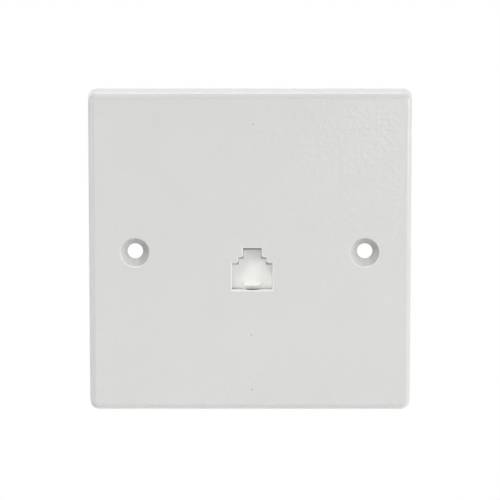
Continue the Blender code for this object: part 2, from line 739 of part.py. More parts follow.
def contact_x(number):
    return JACK_X + (number - (CONTACTS - 1) / 2) * CONTACT_PITCH


def contact_row(number):
    return UPPER_ROW if number % 2 else LOWER_ROW


def contact_insert(parts, tools, material):
    """The comb: grooves above and below for the wires, and slots for their free ends at the back."""
    comb = box(
        "contact_insert", (JACK_X - COMB_HALF, JACK_X + COMB_HALF), (COMB_START, COMB_BACK),
        (COMB_BOTTOM, COMB_TOP), parts, material,
    )
    upright = box(
        "comb_upright", (JACK_X - COMB_HALF, JACK_X + COMB_HALF), (COMB_BACK - COMB_UPRIGHT, COMB_BACK),
        (COMB_TOP - COMB_GROOVE, COMB_TOP + COMB_HEIGHT), tools,
    )
    join(comb, upright)
    half = CONTACT_WIRE / 2 + WIRE_GAP
    for number in range(CONTACTS):
        x = contact_x(number)
        row_top = contact_row(number) + half
        cut(
            comb,
            box("comb_groove", (x - half, x + half), (COMB_START - OVERSHOOT, COMB_SLOT_BACK),
                (COMB_TOP - COMB_GROOVE, COMB_TOP + COMB_HEIGHT + OVERSHOOT), tools),
            box("comb_channel", (x - half, x + half), (COMB_START - OVERSHOOT, COMB_BACK + OVERSHOOT),
                (COMB_BOTTOM - OVERSHOOT, row_top), tools),
        )
    return comb


def bent(points, radius, steps):
    """The route through the points with each inner corner rounded."""
    route = [Vector(points[0])]
    for before, corner, after in zip(points, points[1:], points[2:]):
        into = (Vector(before) - Vector(corner)).normalized()
        away = (Vector(after) - Vector(corner)).normalized()
        half_angle = into.angle(away) / 2
        reach = radius / math.tan(half_angle)
        centre = Vector(corner) + (into + away).normalized() * radius / math.sin(half_angle)
        start = Vector(corner) + into * reach - centre
        end = Vector(corner) + away * reach - centre
        sweep = start.angle(end)
        for i in range(steps + 1):
            share = i / steps
            before_part, after_part = math.sin((1 - share) * sweep), math.sin(share * sweep)
            route.append(centre + (start * before_part + end * after_part) / math.sin(sweep))
    route.append(Vector(points[-1]))
    return [tuple(point) for point in route]


def contact(number, parts, material):
    """A sprung wire: from its tail behind the board, under the comb, round its front and up the cavity."""
    x = contact_x(number)
    row = contact_row(number) + CENTRE_Z
    front = WIRE_FRONT + CONTACT_WIRE / 2 - WIRE_GAP
    root = COMB_TOP - CONTACT_ROOT + CENTRE_Z
    tip_y = COMB_SLOT_BACK - CONTACT_WIRE
    points = [
        (x, BOARD_BACK + CONTACT_TAIL, row),
        (x, front, row),
        (x, front, root),
        (x, tip_y, COMB_TOP + CONTACT_TIP + CENTRE_Z),
    ]
    route = bent(points, CONTACT_BEND, BEND_STEPS)
    return wire(f"contact_{number + 1}", route, CONTACT_WIRE, parts, material, 1)


def flat_outline(name, loops, low, high, group, material):
    """A flat sheet in the X-Z plane between two Y levels, whose later loops are its holes."""
    curve = bpy.data.curves.new(name, "CURVE")
    curve.dimensions = "2D"
    curve.fill_mode = "BOTH"
    curve.extrude = (high - low) / 2
    for loop in loops:
        line = curve.splines.new("POLY")
        line.points.add(len(loop) - 1)
        line.use_cyclic_u = True
        for node, (x, z) in zip(line.points, loop):
            node.co = (x, z, 0, 1)
    curve.materials.append(material)
    item = bpy.data.objects.new(name, curve)
    group.objects.link(item)
    return item


def circuit_board(parts, material):
    left, right = JACK_X - BOARD_WIDTH / 2, JACK_X + BOARD_WIDTH / 2
    loops = [rounded_rectangle((left, BOARD_FOOT), (right, BOARD_TOP), BOARD_CORNER)]
    for side in (-1, 1):
        loops.append(circle((JACK_X + side * BOARD_SCREW_OUT, BOARD_SCREW_HEIGHT), SCREW_HOLE / 2, 20))
        peg = (JACK_X + side * JACK_PEG_SPACING / 2, -JACK_PEG_DROP)
        loops.append(circle(peg, JACK_PEG / 2 + REST_GAP, 20))
        loops.append(circle((JACK_X + side * block_peg_out(), BLOCK_CENTRE), BLOCK_PEG / 2 + REST_GAP, 16))
    for number in range(CONTACTS):
        loops.append(circle((contact_x(number), contact_row(number)), CONTACT_WIRE / 2 + REST_GAP, 10))
    for number in range(BLADES):
        half = BLADE_TAIL_WIDTH / 2 + REST_GAP
        loops.append(circle((blade_x(number), BLOCK_CENTRE), math.hypot(half, BLADE_THICK / 2), 12))
    board = flat_outline("circuit_board", loops, BOARD_FRONT, BOARD_BACK, parts, material)
    board.rotation_euler = (math.pi / 2, 0, 0)
    board.location = (0, (BOARD_FRONT + BOARD_BACK) / 2, CENTRE_Z)
    return board


def blade_x(number):
    return JACK_X + (number - (BLADES - 1) / 2) * BLADE_PITCH


def block_half():
    return BLADES * BLADE_PITCH / 2 + BLOCK_END


def block_peg_out():
    return (BLADES - 2) * BLADE_PITCH / 2


def idc_block(parts, tools, material):
    """A castellated block: a slot for each wire across it, and a pocket for each forked blade."""
    low, high = BLOCK_CENTRE - BLOCK_HEIGHT / 2, BLOCK_CENTRE + BLOCK_HEIGHT / 2
    half = block_half()
    across = (JACK_X - half, JACK_X + half)
    block = box("idc_block", across, (BLOCK_FRONT, BLOCK_BACK), (low, high), parts, material)
    for side in (-1, 1):
        peg_x = JACK_X + side * block_peg_out()
        join(
            block,
            rod("block_peg", peg_x, BLOCK_CENTRE, BLOCK_PEG / 2,
                (BLOCK_FRONT - BLOCK_PEG_REACH, BLOCK_FRONT + BLOCK_FLOOR / 2), tools, 2 * SMALL_STEPS),
        )
    past_low, past_high = low - OVERSHOOT, high + OVERSHOOT
    for number in range(BLADES):
        x = blade_x(number)
        slot = [
            (x - WIRE_SLOT / 2, BLOCK_BACK - WIRE_SLOT_DEPTH),
            (x + WIRE_SLOT / 2, BLOCK_BACK - WIRE_SLOT_DEPTH),
            (x + WIRE_SLOT / 2, BLOCK_BACK - WIRE_MOUTH_DEPTH),
            (x + WIRE_MOUTH / 2, BLOCK_BACK),
            (x + WIRE_MOUTH / 2, BLOCK_BACK + OVERSHOOT),
            (x - WIRE_MOUTH / 2, BLOCK_BACK + OVERSHOOT),
            (x - WIRE_MOUTH / 2, BLOCK_BACK),
            (x - WIRE_SLOT / 2, BLOCK_BACK - WIRE_MOUTH_DEPTH),
        ]
        pocket = BLADE_WIDTH / 2 + WIRE_GAP
        thick = BLADE_THICK / 2 + WIRE_GAP
        tail = BLADE_TAIL_WIDTH / 2 + WIRE_GAP
        cut(
            block,
            upright_prism("wire_slot", slot, past_low, past_high, tools),
            box("blade_pocket", (x - pocket, x + pocket),
                (BLOCK_FRONT + BLOCK_FLOOR, BLOCK_BACK + OVERSHOOT),
                (BLOCK_CENTRE - thick, BLOCK_CENTRE + thick), tools),
            box("tail_slot", (x - tail, x + tail),
                (BLOCK_FRONT - OVERSHOOT, BLOCK_FRONT + BLOCK_FLOOR + OVERSHOOT),
                (BLOCK_CENTRE - thick, BLOCK_CENTRE + thick), tools),
        )
    return block


def upright_prism(name, outline, low, high, group):
    """A prism along Z whose outline is in X and Y."""
    shape = bmesh.new()
    lower = [shape.verts.new((x, y, low + CENTRE_Z)) for x, y in outline]
    base = shape.faces.new(lower)
    raised = bmesh.ops.extrude_face_region(shape, geom=[base])["geom"]
    top = [item for item in raised if isinstance(item, bmesh.types.BMVert)]
    bmesh.ops.translate(shape, vec=(0, 0, high - low), verts=top)
    return place(name, finish(shape, name), group)


def idc_blade(number, parts, material):
    """A forked blade: a flat outline in X and Y with a slit below a V mouth, and a tail through the board."""
    tip = BLOCK_BACK - BLADE_SUNK
    foot = BLOCK_FRONT + BLOCK_FLOOR + WIRE_GAP
    end = BOARD_FRONT - BLADE_TAIL
    half, slit, mouth_half, tail = BLADE_WIDTH / 2, BLADE_SLIT / 2, BLADE_MOUTH / 2, BLADE_TAIL_WIDTH / 2
    floor = tip - BLADE_SLIT_DEPTH
    right = [(tail, end), (tail, foot), (half, foot), (half, tip), (mouth_half, tip)]
    right += [(slit, tip - mouth_half), (slit, floor)]
    outline = right + [(-x, y) for x, y in reversed(right)]
    curve = bpy.data.curves.new("idc_blade", "CURVE")
    curve.dimensions = "2D"
    curve.fill_mode = "BOTH"
    curve.extrude = BLADE_THICK / 2
    line = curve.splines.new("POLY")
    line.points.add(len(outline) - 1)
    line.use_cyclic_u = True
    for node, (x, y) in zip(line.points, outline):
        node.co = (x, y, 0, 1)
    curve.materials.append(material)
    item = bpy.data.objects.new(f"idc_blade_{number + 1}", curve)
    item.location = (blade_x(number), 0, BLOCK_CENTRE + CENTRE_Z)
    parts.objects.link(item)
    return item


def build():
    clear_scene()
    parts = new_collection("telephone_wall_socket")
    tools = new_collection("cutters")
    tools.hide_render = True
    white = plastic("plate_plastic", (0.80, 0.80, 0.785), 0.3)
    bright = plastic("shutter_plastic", (0.88, 0.88, 0.88), 0.4)
    natural = plastic("cover_plastic", (0.80, 0.80, 0.77), 0.45)
    black = plastic("jack_plastic", (0.05, 0.05, 0.055), 0.5)
    grey = plastic("comb_plastic", (0.16, 0.16, 0.17), 0.5)
    ivory = plastic("block_plastic", (0.78, 0.78, 0.76), 0.45)
    green = plastic("board_laminate", (0.03, 0.22, 0.10), 0.45)
    gold = plastic("contact_gilt", (0.83, 0.62, 0.25), 0.25, 1.0)
    tin = plastic("blade_tin", (0.72, 0.71, 0.68), 0.3, 1.0)
    steel = plastic("spring_steel", (0.60, 0.60, 0.60), 0.3, 1.0)
    zinc = plastic("screw_zinc", (0.66, 0.67, 0.68), 0.35, 1.0)

    front_plate(parts, tools, white)
    shutter(parts, tools, bright)
    shutter_spring(parts, steel)
    shutter_cover(parts, tools, natural)
    jack_body(parts, tools, black)
    contact_insert(parts, tools, grey)
    for number in range(CONTACTS):
        contact(number, parts, gold)
    circuit_board(parts, green)
    idc_block(parts, tools, ivory)
    for number in range(BLADES):
        idc_blade(number, parts, tin)
    cover_seat = COVER_FRONT + COVER_THICK
    for side, place_name in ((-1, "left"), (1, "right")):
        cover_x = JACK_X + side * COVER_SCREW_X
        board_x = JACK_X + side * BOARD_SCREW_OUT
        screw(f"cover_screw_{place_name}", cover_x, COVER_SCREW_Z, cover_seat, COVER_SCREW_LENGTH,
              parts, tools, zinc)
        screw(f"board_screw_{place_name}", board_x, BOARD_SCREW_HEIGHT, BOARD_BACK, BOARD_SCREW_LENGTH,
              parts, tools, zinc)


build()
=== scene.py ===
"""The telephone wall socket dressed for its picture: materials, small visible detail, light and camera."""

import math

import bmesh
import bpy
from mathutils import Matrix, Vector


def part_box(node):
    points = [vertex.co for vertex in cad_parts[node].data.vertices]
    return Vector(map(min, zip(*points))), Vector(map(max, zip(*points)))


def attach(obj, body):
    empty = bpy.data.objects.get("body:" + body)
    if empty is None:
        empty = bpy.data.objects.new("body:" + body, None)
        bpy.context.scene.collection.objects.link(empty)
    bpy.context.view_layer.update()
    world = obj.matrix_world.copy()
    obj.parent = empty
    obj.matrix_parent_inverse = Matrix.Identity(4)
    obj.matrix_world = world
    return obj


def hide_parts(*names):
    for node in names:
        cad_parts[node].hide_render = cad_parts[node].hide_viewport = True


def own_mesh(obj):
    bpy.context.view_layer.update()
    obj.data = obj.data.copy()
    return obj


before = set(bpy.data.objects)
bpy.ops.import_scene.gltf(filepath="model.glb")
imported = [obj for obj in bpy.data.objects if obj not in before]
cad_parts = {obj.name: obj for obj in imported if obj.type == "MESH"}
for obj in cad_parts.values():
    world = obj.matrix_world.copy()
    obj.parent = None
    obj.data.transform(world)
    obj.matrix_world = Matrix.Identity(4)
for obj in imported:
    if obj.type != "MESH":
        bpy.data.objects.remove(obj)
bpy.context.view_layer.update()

MM = 0.001


def linear(level):
    """A display level from 0 to 255 as the colour value that renders as it."""
    share = level / 255
    return share / 12.92 if share <= 0.04045 else ((share + 0.055) / 1.055) ** 2.4


def shown(red, green, blue):
    """The shader colour that renders as three display levels."""
    return (linear(red), linear(green), linear(blue), 1.0)


# The frame's measures that the dressing follows
PLATE_LOW, PLATE_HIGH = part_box("front_plate")
DOOR_LOW, DOOR_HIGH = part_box("shutter")
SPRING_LOW, SPRING_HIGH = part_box("shutter_spring")
BOARD_LOW, BOARD_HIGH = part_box("circuit_board")
FACE_Y = PLATE_LOW.y
HOLE_LINE = (PLATE_LOW.z + PLATE_HIGH.z) / 2
JACK_X = (DOOR_LOW.x + DOOR_HIGH.x) / 2
WAYS = sum(name.startswith("idc_blade_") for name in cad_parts)

# Camera, in metres, degrees and, for its sensor, millimetres
CAMERA_DISTANCE = 1.0
CAMERA_RISE = 10.0
CAMERA_CLIP = (0.01, 10.0)
PICTURE_WIDTH = 131.1 * MM
SENSOR_WIDTH = 36.0
AIM_ABOVE_HOLES = 0.69 * MM

# Lamps: name, watts, size in metres, and how far above and to the right of straight in front, in degrees
LIGHT_DISTANCE = 1.0
LIGHTS = (
    ("upper_left", 3.8, 0.3, 58, -30),
    ("right_side", 4.0, 0.6, 9, 70),
    ("right_front", 1.2, 0.6, 5, 45),
    ("left_side", 1.95, 0.6, 5, -60),
    ("left_edge", 0.6, 0.5, 0, -98),
    ("behind_above", 3.0, 0.6, 125, 0),
    ("below", 0.95, 0.5, -15, 0),
    ("glint", 0.10, 0.04, -4.8, 7),
)
AMBIENT = 0.23

# Studio floor: how far it lies under the plate, and the share of white in its middle where it is looked at
FLOOR_DROP = 80.0 * MM
FLOOR_SIZE = 0.4
FLOOR_WHITE = 0.8
FLOOR_COLOUR = (0.85, 0.85, 0.85, 1)
FLOOR_ROUGHNESS = 0.7

# The plate's rims, where a highlight is painted: from just behind the face to RIM_DEPTH
RIM_START = 0.006 * MM
RIM_DEPTH = 0.3 * MM
# Painted highlights on the rims of the opening and of the fixing holes
JACK_RIM_HIGHLIGHT = shown(248, 248, 247)
HOLE_RIM_HIGHLIGHT = shown(234, 234, 232)

# The opening's sill, measured from the line of the holes and back from the face, where the rim's painted
# highlight reaches deeper, and the crease behind it, where shade is painted dark
JACK_ZONE = 8.0 * MM
SILL_HEIGHT = -10.2 * MM
SILL_REACH = 1.2 * MM
SILL_DEPTH = 1.9 * MM
CREASE_DEPTH = 2.2 * MM
CREASE_HALF = 0.3 * MM
# Painted shade in the crease between the sill and the door
CREASE_SHADE = shown(90, 90, 88)

# Painted light and shade in the countersinks, graded from the side that faces right to the side that faces
# left
HOLE_SPACING = 60.3 * MM
SINK_RADIUS = 3.9 * MM
# Painted light and painted shade for the countersinks' cones
SINK_LIT = shown(223, 223, 220)
SINK_SHADE = shown(184, 184, 182)
SINK_CONTRAST = 0.7

# Painted light on the plate's outer walls, which lie further than WALL_ZONE from its middle, where they face
# right and down
WALL_ZONE = 39.0 * MM
# Painted light on the outer walls
WALL_PAINTED_LIGHT = shown(240, 240, 238)

# Nicks in the plate's face: to the right of its middle and above the line of the holes, in millimetres
NICKS = ((0.75, 33.9), (0.35, -22.0), (0.45, -36.7))
NICK_RADIUS = 0.16 * MM
NICK_COLOUR = shown(150, 150, 148)

# Painted shade on the door behind the opening's top edges: its foot above the line of the holes, the half
# width left clear in the middle and the height over which it comes in, in millimetres, and its colour
DOOR_SHADE_LINES = (
    (-1.20, 0.0, 1.20, shown(238, 238, 236)),
    (0.28, 0.0, 0.25, shown(108, 108, 106)),
    (-2.40, 2.3, 0.70, shown(165, 165, 163)),
    (-3.90, 3.6, 0.70, shown(155, 155, 153)),
)

# The range in which noise mostly lies
NOISE_LOW, NOISE_HIGH = 0.3, 0.7

# Plastics: two colours that it drifts between, and the roughness
PLASTICS = {
    "plate_plastic": (shown(218, 218, 216), shown(216, 216, 213), 0.36),
    "shutter_plastic": (shown(251, 251, 248), shown(248, 248, 245), 0.38),
    "cover_plastic": (shown(226, 226, 221), shown(221, 221, 214), 0.45),
    "jack_plastic": ((0.017, 0.017, 0.019, 1), (0.023, 0.023, 0.025, 1), 0.42),
    "comb_plastic": ((0.030, 0.030, 0.033, 1), (0.037, 0.037, 0.040, 1), 0.45),
    "block_plastic": (shown(222, 221, 214), shown(216, 215, 206), 0.42),
    "masked_copper": ((0.020, 0.190, 0.075, 1), (0.026, 0.215, 0.090, 1), 0.34),
}
PLASTIC_DRIFT = 14.0 * MM
PLASTIC_SHEEN = 3.0 * MM
PLASTIC_UNEVEN = (-0.04, 0.05)
PLASTIC_IOR = 1.5
GRAIN_SIZE, GRAIN_DEPTH, GRAIN_STRENGTH = 0.9 * MM, 0.012 * MM, 0.6
PEEL_SIZE, PEEL_DEPTH = 1.6 * MM, 0.045 * MM
SKIN_SIZE, SKIN_DEPTH = 0.5 * MM, 0.030 * MM
COAT_WEIGHT, COAT_ROUGHNESS = 0.6, 0.12

# Metals: two colours that it drifts between, the roughness, the grain's size and its stretch on each axis
METALS = {
    "contact_gilt": ((0.95, 0.70, 0.30, 1), (0.86, 0.60, 0.24, 1), 0.40, 0.2 * MM, (1, 0.1, 0.1)),
    "blade_tin": ((0.66, 0.65, 0.61, 1), (0.55, 0.54, 0.50, 1), 0.32, 0.3 * MM, (1, 0.15, 1)),
    "screw_zinc": ((0.60, 0.61, 0.62, 1), (0.50, 0.51, 0.53, 1), 0.30, 0.4 * MM, (1, 1, 1)),
    "spring_steel": ((0.56, 0.56, 0.57, 1), (0.44, 0.44, 0.46, 1), 0.28, 0.3 * MM, (1, 1, 1)),
    "solder": ((0.62, 0.62, 0.61, 1), (0.52, 0.52, 0.52, 1), 0.26, 0.5 * MM, (1, 1, 1)),
}
METAL_DRIFT = 2.5 * MM
METAL_UNEVEN = (-0.08, 0.10)
STREAK_DEPTH, STREAK_STRENGTH = 0.004 * MM, 0.5

# Laminate: a weave of two greens under a drifting mask, and the paler cut edge
WEAVE_SIZE = 0.6 * MM
WEAVE_COLOURS = ((0.010, 0.105, 0.045, 1), (0.013, 0.125, 0.055, 1))
WEAVE_DEPTH, WEAVE_STRENGTH = 0.004 * MM, 0.4
MASK_COLOUR = (0.02, 0.16, 0.075, 1)
MASK_DRIFT, MASK_SHARE = 6.0 * MM, 0.5
MASK_SHEEN, MASK_ROUGHNESS = 1.5 * MM, (0.28, 0.42)
CUT_COLOUR = (0.30, 0.33, 0.17, 1)
CUT_FACING = 0.5

# Spring: turns, steps in each, the wire and its sides, and the pitch of a closed end turn in wires
SPRING_TURNS = 10
SPRING_STEPS = 28
SPRING_WIRE = 0.36 * MM
SPRING_SIDES = 10
CLOSED_PITCH = 1.15

# Solder joints, and the tracks under the mask: a track rises straight from its contact and bends below its
# blade, lower down with each step away from the middle
JOINT_SPREAD = 0.7 * MM
JOINT_HEIGHT = 0.55 * MM
JOINT_RINGS, JOINT_SIDES = 5, 20
BLADE_TAIL_HALF = 0.42 * MM
TRACK_WIDTH = 0.5 * MM
TRACK_TOP = 0.7
TRACK_LIFT = 0.06 * MM
TRACK_RISE = 1.2 * MM
TRACK_BEND = 6.3 * MM
TRACK_STEP = 0.9 * MM


class Nodes:
    """A material's node tree, with short calls for the nodes that the materials share."""

    def __init__(self, name):
        self.material = bpy.data.materials.new(name)
        self.material.use_nodes = True
        self.tree = self.material.node_tree
        self.shader = self.tree.nodes["Principled BSDF"]
        self.place = self.add("ShaderNodeTexCoord").outputs["Object"]

    def add(self, kind, **settings):
        node = self.tree.nodes.new(kind)
        for key, value in settings.items():
            setattr(node, key, value)
        return node

    def feed(self, socket, value):
        """The socket takes a fixed value, or another node's output."""
        if isinstance(value, (int, float, tuple)):
            socket.default_value = value
        else:
            self.tree.links.new(value, socket)

    def shade(self, socket, value):
        """The shader's own socket of that name takes the value."""
        self.feed(self.shader.inputs[socket], value)

    def noise(self, size, detail=3.0, stretch=(1, 1, 1)):
        """Noise whose features are about size across, in metres."""
        mapping = self.add("ShaderNodeMapping")
        self.feed(mapping.inputs["Vector"], self.place)
        self.feed(mapping.inputs["Scale"], tuple(share / size for share in stretch))
        noise = self.add("ShaderNodeTexNoise")
        self.feed(noise.inputs["Vector"], mapping.outputs["Vector"])
        self.feed(noise.inputs["Scale"], 1.0)
        self.feed(noise.inputs["Detail"], detail)
        return noise.outputs["Fac"]

    def spread(self, value, low, high):
        """The noise's usual range stretched to run from low to high."""
        node = self.add("ShaderNodeMapRange", clamp=False)
        self.feed(node.inputs["Value"], value)
        self.feed(node.inputs["From Min"], NOISE_LOW)
        self.feed(node.inputs["From Max"], NOISE_HIGH)
        self.feed(node.inputs["To Min"], low)
        self.feed(node.inputs["To Max"], high)
        return node.outputs["Result"]

    def math(self, operation, first, second=0.0):
        node = self.add("ShaderNodeMath", operation=operation)
        self.feed(node.inputs[0], first)
        self.feed(node.inputs[1], second)
        return node.outputs[0]

    def clamped(self, value):
        return self.math("MINIMUM", self.math("MAXIMUM", value, 0.0), 1.0)

    def near(self, value, middle, reach):
        """1 where the value is within reach of the middle, and 0 elsewhere."""
        return self.math("LESS_THAN", self.math("ABSOLUTE", self.math("SUBTRACT", value, middle)), reach)

    def parts(self, vector):
        """The X, Y and Z of a vector."""
        node = self.add("ShaderNodeSeparateXYZ")
        self.feed(node.inputs[0], vector)
        return node.outputs["X"], node.outputs["Y"], node.outputs["Z"]

    def facing(self):
        """The X, Y and Z of the direction that the surface faces."""
        return self.parts(self.add("ShaderNodeNewGeometry").outputs["Normal"])

    def distance(self, point):
        """How far the surface is from the point."""
        node = self.add("ShaderNodeVectorMath", operation="DISTANCE")
        self.feed(node.inputs[0], self.place)
        self.feed(node.inputs[1], point)
        return node.outputs["Value"]

    def mix(self, factor, first, second):
        """The first colour where the factor is 0, and the second where it is 1."""
        node = self.add("ShaderNodeMix", data_type="RGBA")
        self.feed(node.inputs["Factor"], factor)
        colours = [socket for socket in node.inputs if socket.type == "RGBA"]
        self.feed(colours[0], first)
        self.feed(colours[1], second)
        return [socket for socket in node.outputs if socket.type == "RGBA"][0]

    def bump(self, height, depth, strength=1.0, before=None):
        """The surface's tilt where the height, from 0 to 1, stands for a rise of up to the depth."""
        node = self.add("ShaderNodeBump")
        self.feed(node.inputs["Strength"], strength)
        self.feed(node.inputs["Distance"], depth)
        self.feed(node.inputs["Height"], height)
        if before:
            self.feed(node.inputs["Normal"], before)
        return node.outputs["Normal"]


def moulded(name):
    """The nodes of a plastic, with its uneven sheen, and its slightly drifting colour, not yet in use."""
    light, dark, roughness = PLASTICS[name]
    nodes = Nodes(name)
    colour = nodes.mix(nodes.spread(nodes.noise(PLASTIC_DRIFT, detail=2.0), 0.0, 1.0), light, dark)
    sheen = nodes.noise(PLASTIC_SHEEN)
    nodes.shade("Roughness", nodes.spread(sheen, *(roughness + change for change in PLASTIC_UNEVEN)))
    nodes.shade("IOR", PLASTIC_IOR)
    return nodes, colour


def grained(nodes, colour):
    """The finished plastic, in its colour and with a fine skin."""
    grain = nodes.noise(GRAIN_SIZE, detail=2.0)
    nodes.shade("Base Color", colour)
    nodes.shade("Normal", nodes.bump(grain, GRAIN_DEPTH, GRAIN_STRENGTH))
    return nodes.material


def plastic(name):
    return grained(*moulded(name))


def paint_wall_light(nodes, colour, outer, facing_x, facing_z):
    """Painted light on the plate's outer walls, paler the more they face right or down."""
    turned = nodes.clamped(nodes.math("SUBTRACT", facing_x, facing_z))
    return nodes.mix(nodes.math("MULTIPLY", outer, turned), colour, WALL_PAINTED_LIGHT)


def paint_countersinks(nodes, colour, across, along, depth, facing_x):
    """The cone of each fixing hole, with painted light where it faces right and painted shade where it faces
    left.
    """
    from_hole = nodes.math("SUBTRACT", across, HOLE_SPACING / 2)
    squares = nodes.math("ADD", nodes.math("POWER", from_hole, 2.0), nodes.math("POWER", along, 2.0))
    near_hole = nodes.math("LESS_THAN", squares, SINK_RADIUS ** 2)
    sink = nodes.math("MULTIPLY", near_hole, nodes.math("GREATER_THAN", depth, RIM_DEPTH))
    # painted light on the side that faces right, painted shade on the side that faces left
    shade = nodes.clamped(nodes.math("ADD", nodes.math("MULTIPLY", facing_x, -SINK_CONTRAST), 0.5))
    return nodes.mix(sink, colour, nodes.mix(shade, SINK_LIT, SINK_SHADE))


def paint_mouths(nodes, colour, inner, across, height, depth):
    """Painted shade in the crease behind the opening's sill, and a painted highlight on the rim of each
    mouth, which reaches deeper on the sill.
    """
    near_jack = nodes.math("LESS_THAN", across, JACK_ZONE)
    sill = nodes.math("MULTIPLY", near_jack, nodes.near(height, SILL_HEIGHT, SILL_REACH))
    # painted shade in the crease between the sill and the door
    crease = nodes.math("MULTIPLY", sill, nodes.near(depth, CREASE_DEPTH, CREASE_HALF))
    colour = nodes.mix(crease, colour, CREASE_SHADE)
    rim_depth = nodes.math("ADD", nodes.math("MULTIPLY", sill, SILL_DEPTH - RIM_DEPTH), RIM_DEPTH)
    below_face = nodes.math("GREATER_THAN", depth, RIM_START)
    rim = nodes.math("MULTIPLY", below_face, nodes.math("LESS_THAN", depth, rim_depth))
    # painted highlight on each mouth's rim, paler at the opening than at the fixing holes
    rim_highlight = nodes.mix(near_jack, HOLE_RIM_HIGHLIGHT, JACK_RIM_HIGHLIGHT)
    return nodes.mix(nodes.math("MULTIPLY", inner, rim), colour, rim_highlight)


def paint_plate(nodes, colour):
    """The plate's colour with painted light on its outer walls and mouth rims, and painted light and shade in
    its countersinks and the crease behind the sill.
    """
    x, y, z = nodes.parts(nodes.place)
    facing_x, _, facing_z = nodes.facing()
    depth = nodes.math("SUBTRACT", y, FACE_Y)
    height = nodes.math("SUBTRACT", z, HOLE_LINE)
    across, along = nodes.math("ABSOLUTE", x), nodes.math("ABSOLUTE", height)
    outer = nodes.math("GREATER_THAN", nodes.math("MAXIMUM", across, along), WALL_ZONE)
    inner = nodes.math("SUBTRACT", 1.0, outer)
    # painted light on the outer walls
    colour = paint_wall_light(nodes, colour, outer, facing_x, facing_z)
    colour = paint_countersinks(nodes, colour, across, along, depth, facing_x)
    return paint_mouths(nodes, colour, inner, across, height, depth)


def plate_plastic():
    """The faceplate's glossy skin: orange peel with a clear coat, painted light and shade at its rims, outer
    walls, countersinks and sill crease, and three tiny nicks.
    """
    nodes, colour = moulded("plate_plastic")
    peel = nodes.bump(nodes.noise(PEEL_SIZE, detail=1.5), PEEL_DEPTH)
    skin = nodes.bump(nodes.noise(SKIN_SIZE, detail=2.0), SKIN_DEPTH, before=peel)
    nodes.shade("Normal", skin)
    nodes.shade("Coat Normal", skin)
    nodes.shade("Coat Weight", COAT_WEIGHT)
    nodes.shade("Coat Roughness", COAT_ROUGHNESS)
    colour = paint_plate(nodes, colour)
    for right, above in NICKS:
        from_nick = nodes.distance((right * MM, FACE_Y, HOLE_LINE + above * MM))
        colour = nodes.mix(nodes.math("LESS_THAN", from_nick, NICK_RADIUS), colour, NICK_COLOUR)
    nodes.shade("Base Color", colour)
    return nodes.material


def door_plastic():
    """The shutter's paler plastic, with painted shade where it passes behind each top edge of the opening."""
    nodes, colour = moulded("shutter_plastic")
    x, _, z = nodes.parts(nodes.place)
    across = nodes.math("ABSOLUTE", nodes.math("SUBTRACT", x, JACK_X))
    height = nodes.math("SUBTRACT", z, HOLE_LINE)
    for foot, clear, ramp, shade in DOOR_SHADE_LINES:
        # painted shade on the door below each top edge of the opening
        above = nodes.clamped(nodes.math("DIVIDE", nodes.math("SUBTRACT", height, foot * MM), ramp * MM))
        beside = nodes.math("GREATER_THAN", across, clear * MM)
        colour = nodes.mix(nodes.math("MULTIPLY", above, beside), colour, shade)
    return grained(nodes, colour)


def metal(name):
    """Plated or drawn metal with fine streaks and a slightly uneven colour."""
    colour, worn, roughness, grain, stretch = METALS[name]
    nodes = Nodes(name)
    drift = nodes.spread(nodes.noise(METAL_DRIFT), 0.0, 1.0)
    streaks = nodes.noise(grain, detail=4.0, stretch=stretch)
    nodes.shade("Base Color", nodes.mix(drift, colour, worn))
    nodes.shade("Roughness", nodes.spread(streaks, *(roughness + change for change in METAL_UNEVEN)))
    nodes.shade("Normal", nodes.bump(streaks, STREAK_DEPTH, STREAK_STRENGTH))
    nodes.shade("Metallic", 1.0)
    return nodes.material


def board_laminate():
    """Glass laminate under green mask: the weave shows faintly, and the cut edge is paler."""
    nodes = Nodes("board_laminate")
    weave = nodes.add("ShaderNodeTexChecker")
    nodes.feed(weave.inputs["Vector"], nodes.place)
    nodes.feed(weave.inputs["Scale"], 1 / WEAVE_SIZE)
    nodes.feed(weave.inputs["Color1"], WEAVE_COLOURS[0])
    nodes.feed(weave.inputs["Color2"], WEAVE_COLOURS[1])
    drift = nodes.spread(nodes.noise(MASK_DRIFT), 0.0, MASK_SHARE)
    masked = nodes.mix(drift, weave.outputs["Color"], MASK_COLOUR)
    _, facing_y, _ = nodes.facing()
    cut = nodes.near(facing_y, 0.0, CUT_FACING)
    nodes.shade("Base Color", nodes.mix(cut, masked, CUT_COLOUR))
    nodes.shade("Roughness", nodes.spread(nodes.noise(MASK_SHEEN), *MASK_ROUGHNESS))
    nodes.shade("Normal", nodes.bump(weave.outputs["Fac"], WEAVE_DEPTH, WEAVE_STRENGTH))
    return nodes.material


def dress(node, material):
    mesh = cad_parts[node].data
    mesh.materials.clear()
    mesh.materials.append(material)


def dress_frame():
    """Each carried-over CAD piece gets its own material."""
    dress("front_plate", plate_plastic())
    dress("shutter", door_plastic())
    dress("shutter_cover", plastic("cover_plastic"))
    dress("jack_body", plastic("jack_plastic"))
    dress("contact_insert", plastic("comb_plastic"))
    dress("idc_block", plastic("block_plastic"))
    gilt, tin, zinc = metal("contact_gilt"), metal("blade_tin"), metal("screw_zinc")
    dress("circuit_board", board_laminate())
    for number in range(1, WAYS + 1):
        dress(f"contact_{number}", gilt)
        dress(f"idc_blade_{number}", tin)
    for held in ("cover", "board"):
        for side in ("left", "right"):
            dress(f"{held}_screw_{side}", zinc)


def add_item(name, data):
    item = bpy.data.objects.new(name, data)
    bpy.context.scene.collection.objects.link(item)
    return item


